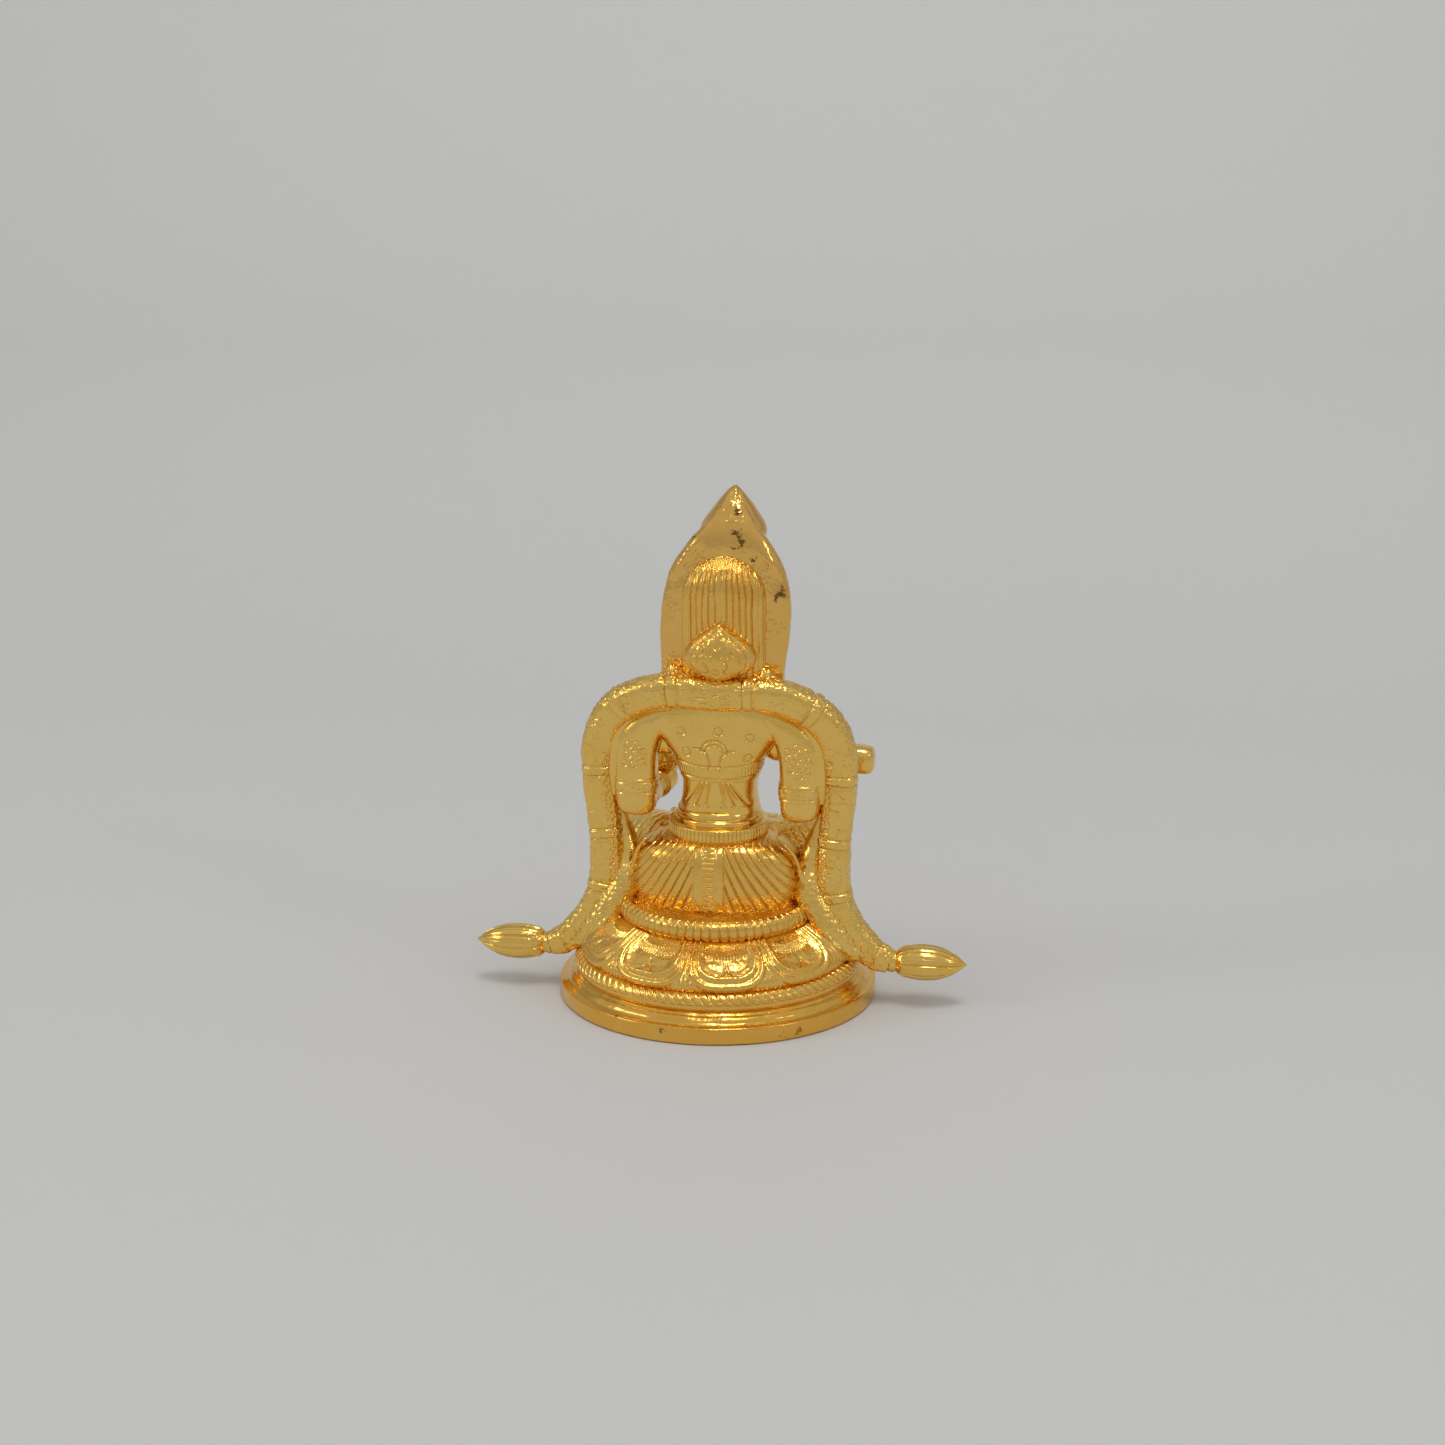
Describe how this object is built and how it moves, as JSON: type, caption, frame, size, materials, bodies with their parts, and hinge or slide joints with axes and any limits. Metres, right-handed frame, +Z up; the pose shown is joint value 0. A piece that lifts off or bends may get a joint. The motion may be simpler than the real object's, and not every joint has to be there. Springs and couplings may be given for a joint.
{
  "type": "seated goddess idol",
  "caption": "Small gold-plated cast idol of a seated goddess on a round lotus pedestal, with a halo arch and a thick garland ending in flower buds.",
  "frame": {"origin": "middle of the object's box at the level of the flat foot it stands on", "axes": "+Z up, the figure faces -Y and its back is towards +Y, its left hand is at +X"},
  "size_m": [0.0596, 0.038, 0.062],
  "materials": {
    "plated_brass_polished": "cast brass, tumbled and gold electroplated, bright on smooth faces",
    "plated_brass_chased": "cast brass with chased and punched relief, gold electroplated, casting grain showing through",
    "plated_brass_garland": "cast brass with a granular flower texture, gold electroplated"
  },
  "bodies": {
    "root": {"back_sash": "plated_brass_chased", "belt_band": "plated_brass_chased", "crown": "plated_brass_polished", "garland_yoke": "plated_brass_garland", "hair_bun": "plated_brass_chased", "hair_panel": "plated_brass_chased", "halo_arch": "plated_brass_polished", "head": "plated_brass_polished", "ladle": "plated_brass_polished", "left_armlet": "plated_brass_chased", "left_earring": "plated_brass_polished", "left_forearm": "plated_brass_chased", "left_garland_strand": "plated_brass_garland", "left_shin": "plated_brass_chased", "left_tassel": "plated_brass_garland", "left_thigh": "plated_brass_chased", "left_upper_arm": "plated_brass_chased", "lotus_pedestal": "plated_brass_chased", "necklace": "plated_brass_chased", "pedestal_foot": "plated_brass_polished", "pot": "plated_brass_polished", "right_armlet": "plated_brass_chased", "right_earring": "plated_brass_polished", "right_forearm": "plated_brass_chased", "right_garland_strand": "plated_brass_garland", "right_shin": "plated_brass_chased", "right_tassel": "plated_brass_garland", "right_thigh": "plated_brass_chased", "right_upper_arm": "plated_brass_chased", "rope_ring": "plated_brass_chased", "seat_ring": "plated_brass_chased", "skirt": "plated_brass_chased", "torso": "plated_brass_chased", "waist_drape": "plated_brass_chased", "waist_ring": "plated_brass_polished"}
  },
  "joints": []
}
